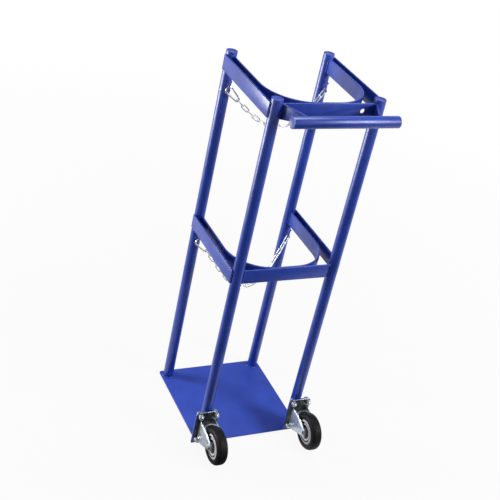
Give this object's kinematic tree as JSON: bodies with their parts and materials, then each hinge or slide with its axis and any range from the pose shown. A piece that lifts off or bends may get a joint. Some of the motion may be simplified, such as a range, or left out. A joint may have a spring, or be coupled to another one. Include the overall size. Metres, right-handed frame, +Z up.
{
  "type": "gas cylinder trolley",
  "caption": "Upright tubular trolley for a gas cylinder: flat base plate, bent saddle bands, rear push handle, fixed rear casters and safety chains with snap hooks.",
  "frame": {"origin": "middle of the underside of the base plate, on the floor", "axes": "+Z up, +X to the right as seen from the handle side, +Y to the open front, -Y to the handle"},
  "size_m": [0.34, 0.426, 1],
  "materials": {
    "blue_paint": "satin",
    "zinc": "zinc plated",
    "wheel_plastic": "moulded",
    "tyre_rubber": "matt",
    "chain_zinc": "zinc plated"
  },
  "bodies": {
    "frame": {"base_plate": "blue_paint", "front_post_left": "blue_paint", "front_post_right": "blue_paint", "rear_post_left": "blue_paint", "rear_post_right": "blue_paint", "upper_side_bar_left": "blue_paint", "upper_side_bar_right": "blue_paint", "lower_side_bar_left": "blue_paint", "lower_side_bar_right": "blue_paint", "upper_rear_bar": "blue_paint", "lower_rear_bar": "blue_paint", "upper_saddle": "blue_paint", "lower_saddle": "blue_paint", "handle_tube": "blue_paint", "handle_arm_left": "blue_paint", "handle_arm_right": "blue_paint", "upper_chain_eye_left": "blue_paint", "upper_chain_eye_right": "blue_paint", "lower_chain_eye_left": "blue_paint", "lower_chain_eye_right": "blue_paint", "caster_mounts": "blue_paint", "caster_plates": "zinc", "caster_forks": "zinc", "axle_bolts": "zinc", "axle_nuts": "zinc"},
    "left_wheel": {"wheel_centre_left": "wheel_plastic", "tyre_left": "tyre_rubber"},
    "right_wheel": {"wheel_centre_right": "wheel_plastic", "tyre_right": "tyre_rubber"},
    "upper_chain": {"upper_chain_links": "chain_zinc", "upper_snap_hook": "chain_zinc"},
    "upper_gate": {"upper_hook_gate": "chain_zinc"},
    "lower_chain": {"lower_chain_links": "chain_zinc", "lower_snap_hook": "chain_zinc"},
    "lower_gate": {"lower_hook_gate": "chain_zinc"}
  },
  "joints": [
    {"name": "left_wheel_spin", "type": "hinge", "parent": "frame", "child": "left_wheel", "pos_m": [-0.138, -0.226, 0.058], "axis": [1, 0, 0], "continuous": true},
    {"name": "right_wheel_spin", "type": "hinge", "parent": "frame", "child": "right_wheel", "pos_m": [0.138, -0.226, 0.058], "axis": [1, 0, 0], "continuous": true},
    {"name": "upper_chain_swing", "type": "hinge", "parent": "frame", "child": "upper_chain", "pos_m": [0, 0.1095, 0.912], "axis": [1, 0, 0], "range_deg": [-35, 5]},
    {"name": "upper_gate_hinge", "type": "hinge", "parent": "upper_chain", "child": "upper_gate", "pos_m": [-0.10387, 0.1095, 0.88825], "axis": [0, -1, 0], "range_deg": [0, 25], "stiffness_Nm_per_rad": 0.1},
    {"name": "lower_chain_swing", "type": "hinge", "parent": "frame", "child": "lower_chain", "pos_m": [0, 0.1095, 0.476], "axis": [1, 0, 0], "range_deg": [-35, 5]},
    {"name": "lower_gate_hinge", "type": "hinge", "parent": "lower_chain", "child": "lower_gate", "pos_m": [-0.10514, 0.1095, 0.45052], "axis": [0, -1, 0], "range_deg": [0, 25], "stiffness_Nm_per_rad": 0.1}
  ]
}
